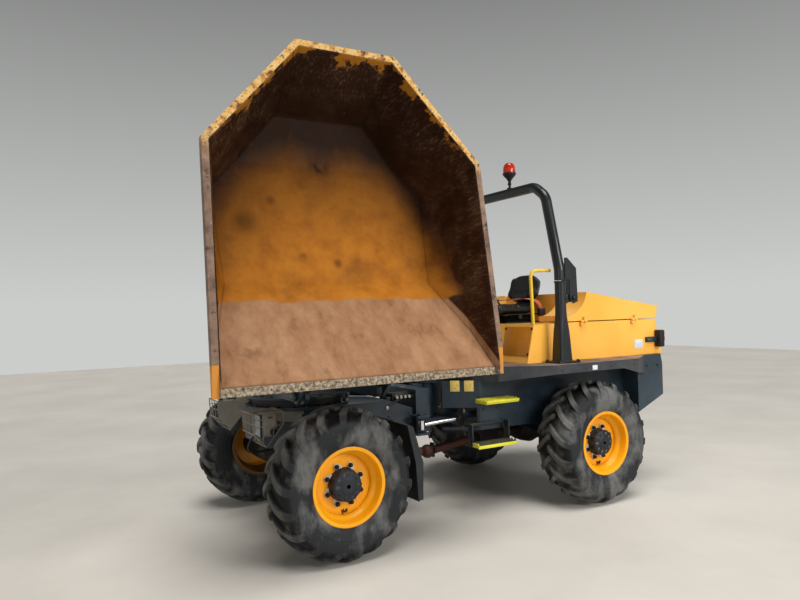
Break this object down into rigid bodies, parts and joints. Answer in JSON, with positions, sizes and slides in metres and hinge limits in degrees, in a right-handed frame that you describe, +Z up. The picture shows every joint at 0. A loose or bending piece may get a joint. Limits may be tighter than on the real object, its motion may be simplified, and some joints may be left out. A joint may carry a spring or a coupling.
{
  "type": "site dumper",
  "caption": "Articulated site dumper with a swivel skip, shown slewed to its left and tipped, on tractor-tread tyres.",
  "frame": {"origin": "centre of the footprint of the whole machine as it stands, on the ground", "axes": "+X forward, +Y to the machine's left, +Z up"},
  "size_m": [4.68, 2.515, 3.5395],
  "materials": {
    "skip_paint": "worn yellow paint over rusty steel",
    "skip_edge": "worn yellow edge with a rusty lip",
    "tyre": "dusty black rubber",
    "rim_yellow": "golden yellow enamel",
    "chassis_blue": "dark blue grey enamel",
    "hood_yellow": "orange yellow enamel",
    "deck_rust": "worn deck paint with rust",
    "black_plastic": "black plastic",
    "seat_vinyl": "black vinyl",
    "safety_yellow": "bright yellow enamel",
    "hoop_grey": "dark grey enamel",
    "beacon_red": "red orange lens",
    "oily_iron": "oily cast iron",
    "shaft_red": "rusty red primer",
    "ram_chrome": "hard chrome",
    "guard_grey": "dusty grey wire"
  },
  "bodies": {
    "root": {"rear_axle": "oily_iron", "frame_rails": "chassis_blue", "axle_saddle": "chassis_blue", "frame_nose": "chassis_blue", "steer_bracket": "chassis_blue", "deck": "deck_rust", "counterweight": "chassis_blue", "tow_jaw": "chassis_blue", "engine_block": "oily_iron", "transmission": "oily_iron", "prop_shafts": "shaft_red", "lower_bonnet": "hood_yellow", "seat_box": "hood_yellow", "seat_base": "black_plastic", "seat_cushion": "seat_vinyl", "seat_back": "seat_vinyl", "console": "black_plastic", "steering_wheel": "black_plastic", "control_levers": "black_plastic", "grab_rails": "safety_yellow", "steps": "safety_yellow", "tail_lamps": "black_plastic", "rops_legs": "hoop_grey"},
    "lid": {"bonnet_lid": "hood_yellow"},
    "hoop": {"rops_hoop": "hoop_grey", "beacon_base": "black_plastic", "beacon_lens": "beacon_red"},
    "front_chassis": {"front_axle": "oily_iron", "front_frame": "chassis_blue", "slew_ring": "oily_iron", "front_mudguards": "chassis_blue", "head_lamps": "black_plastic", "lamp_guards": "guard_grey", "slew_motor": "oily_iron", "front_shaft": "shaft_red"},
    "table": {"turntable": "chassis_blue"},
    "skip": {"skip_bowl": "skip_paint", "skip_rim": "skip_edge", "skip_brackets": "chassis_blue"},
    "tip_ram_barrel": {"tip_barrel": "chassis_blue"},
    "tip_ram_rod": {"tip_rod": "ram_chrome"},
    "steer_ram_barrel": {"steer_barrel": "chassis_blue"},
    "steer_ram_rod": {"steer_rod": "ram_chrome"},
    "wheel_front_left": {"tyre_front_left": "tyre", "rim_front_left": "rim_yellow"},
    "wheel_front_right": {"tyre_front_right": "tyre", "rim_front_right": "rim_yellow"},
    "wheel_rear_left": {"tyre_rear_left": "tyre", "rim_rear_left": "rim_yellow"},
    "wheel_rear_right": {"tyre_rear_right": "tyre", "rim_rear_right": "rim_yellow"}
  },
  "joints": [
    {"name": "steer", "type": "hinge", "parent": "root", "child": "front_chassis", "pos_m": [0.035, -0.14701, 0.88], "axis": [0, 0, 1], "range_deg": [-33, 33]},
    {"name": "slew", "type": "hinge", "parent": "front_chassis", "child": "table", "pos_m": [1.285, -0.14701, 1.058], "axis": [0, 0, 1], "range_deg": [-180, 0]},
    {"name": "tip", "type": "hinge", "parent": "table", "child": "skip", "pos_m": [1.285, 0.70299, 1.15], "axis": [-1, 0, 0], "range_deg": [-74.4, 0]},
    {"name": "tip_ram_swing", "type": "hinge", "parent": "table", "child": "tip_ram_barrel", "pos_m": [1.285, -0.69701, 1.155], "axis": [1, 0, 0], "range_deg": [-14.42, 0]},
    {"name": "tip_ram_slide", "type": "slide", "parent": "tip_ram_barrel", "child": "tip_ram_rod", "axis": [0, 0.9709, 0.2395], "range_m": [-0.2902, 0]},
    {"name": "steer_ram_swing", "type": "hinge", "parent": "root", "child": "steer_ram_barrel", "pos_m": [-0.595, 0.30299, 0.812], "axis": [0, 0, 1], "range_deg": [-9.67, 9.67]},
    {"name": "steer_ram_slide", "type": "slide", "parent": "steer_ram_barrel", "child": "steer_ram_rod", "axis": [0.9945, -0.0811, -0.067], "range_m": [-0.2314, 0.2314]},
    {"name": "hoop_fold", "type": "hinge", "parent": "root", "child": "hoop", "pos_m": [-0.932, -0.14701, 1.79], "axis": [0, -1, 0], "range_deg": [0, 90]},
    {"name": "bonnet_hinge", "type": "hinge", "parent": "root", "child": "lid", "pos_m": [-1.615, 0.63099, 1.578], "axis": [1, 0, 0], "range_deg": [-70, 0]},
    {"name": "roll_front_left", "type": "hinge", "parent": "front_chassis", "child": "wheel_front_left", "pos_m": [1.342, 0.76099, 0.53], "axis": [0, 1, 0], "continuous": true},
    {"name": "roll_front_right", "type": "hinge", "parent": "front_chassis", "child": "wheel_front_right", "pos_m": [1.342, -1.05501, 0.53], "axis": [0, 1, 0], "continuous": true},
    {"name": "roll_rear_left", "type": "hinge", "parent": "root", "child": "wheel_rear_left", "pos_m": [-1.115, 0.76099, 0.53], "axis": [0, 1, 0], "continuous": true},
    {"name": "roll_rear_right", "type": "hinge", "parent": "root", "child": "wheel_rear_right", "pos_m": [-1.115, -1.05501, 0.53], "axis": [0, 1, 0], "continuous": true}
  ],
  "couplings": [
    {"joint": "tip_ram_swing", "follows": "tip", "ratio": 0.18977},
    {"joint": "tip_ram_slide", "follows": "tip", "m_per_rad": 0.22197},
    {"joint": "steer_ram_swing", "follows": "steer", "ratio": 0.29},
    {"joint": "steer_ram_slide", "follows": "steer", "m_per_rad": -0.4}
  ]
}
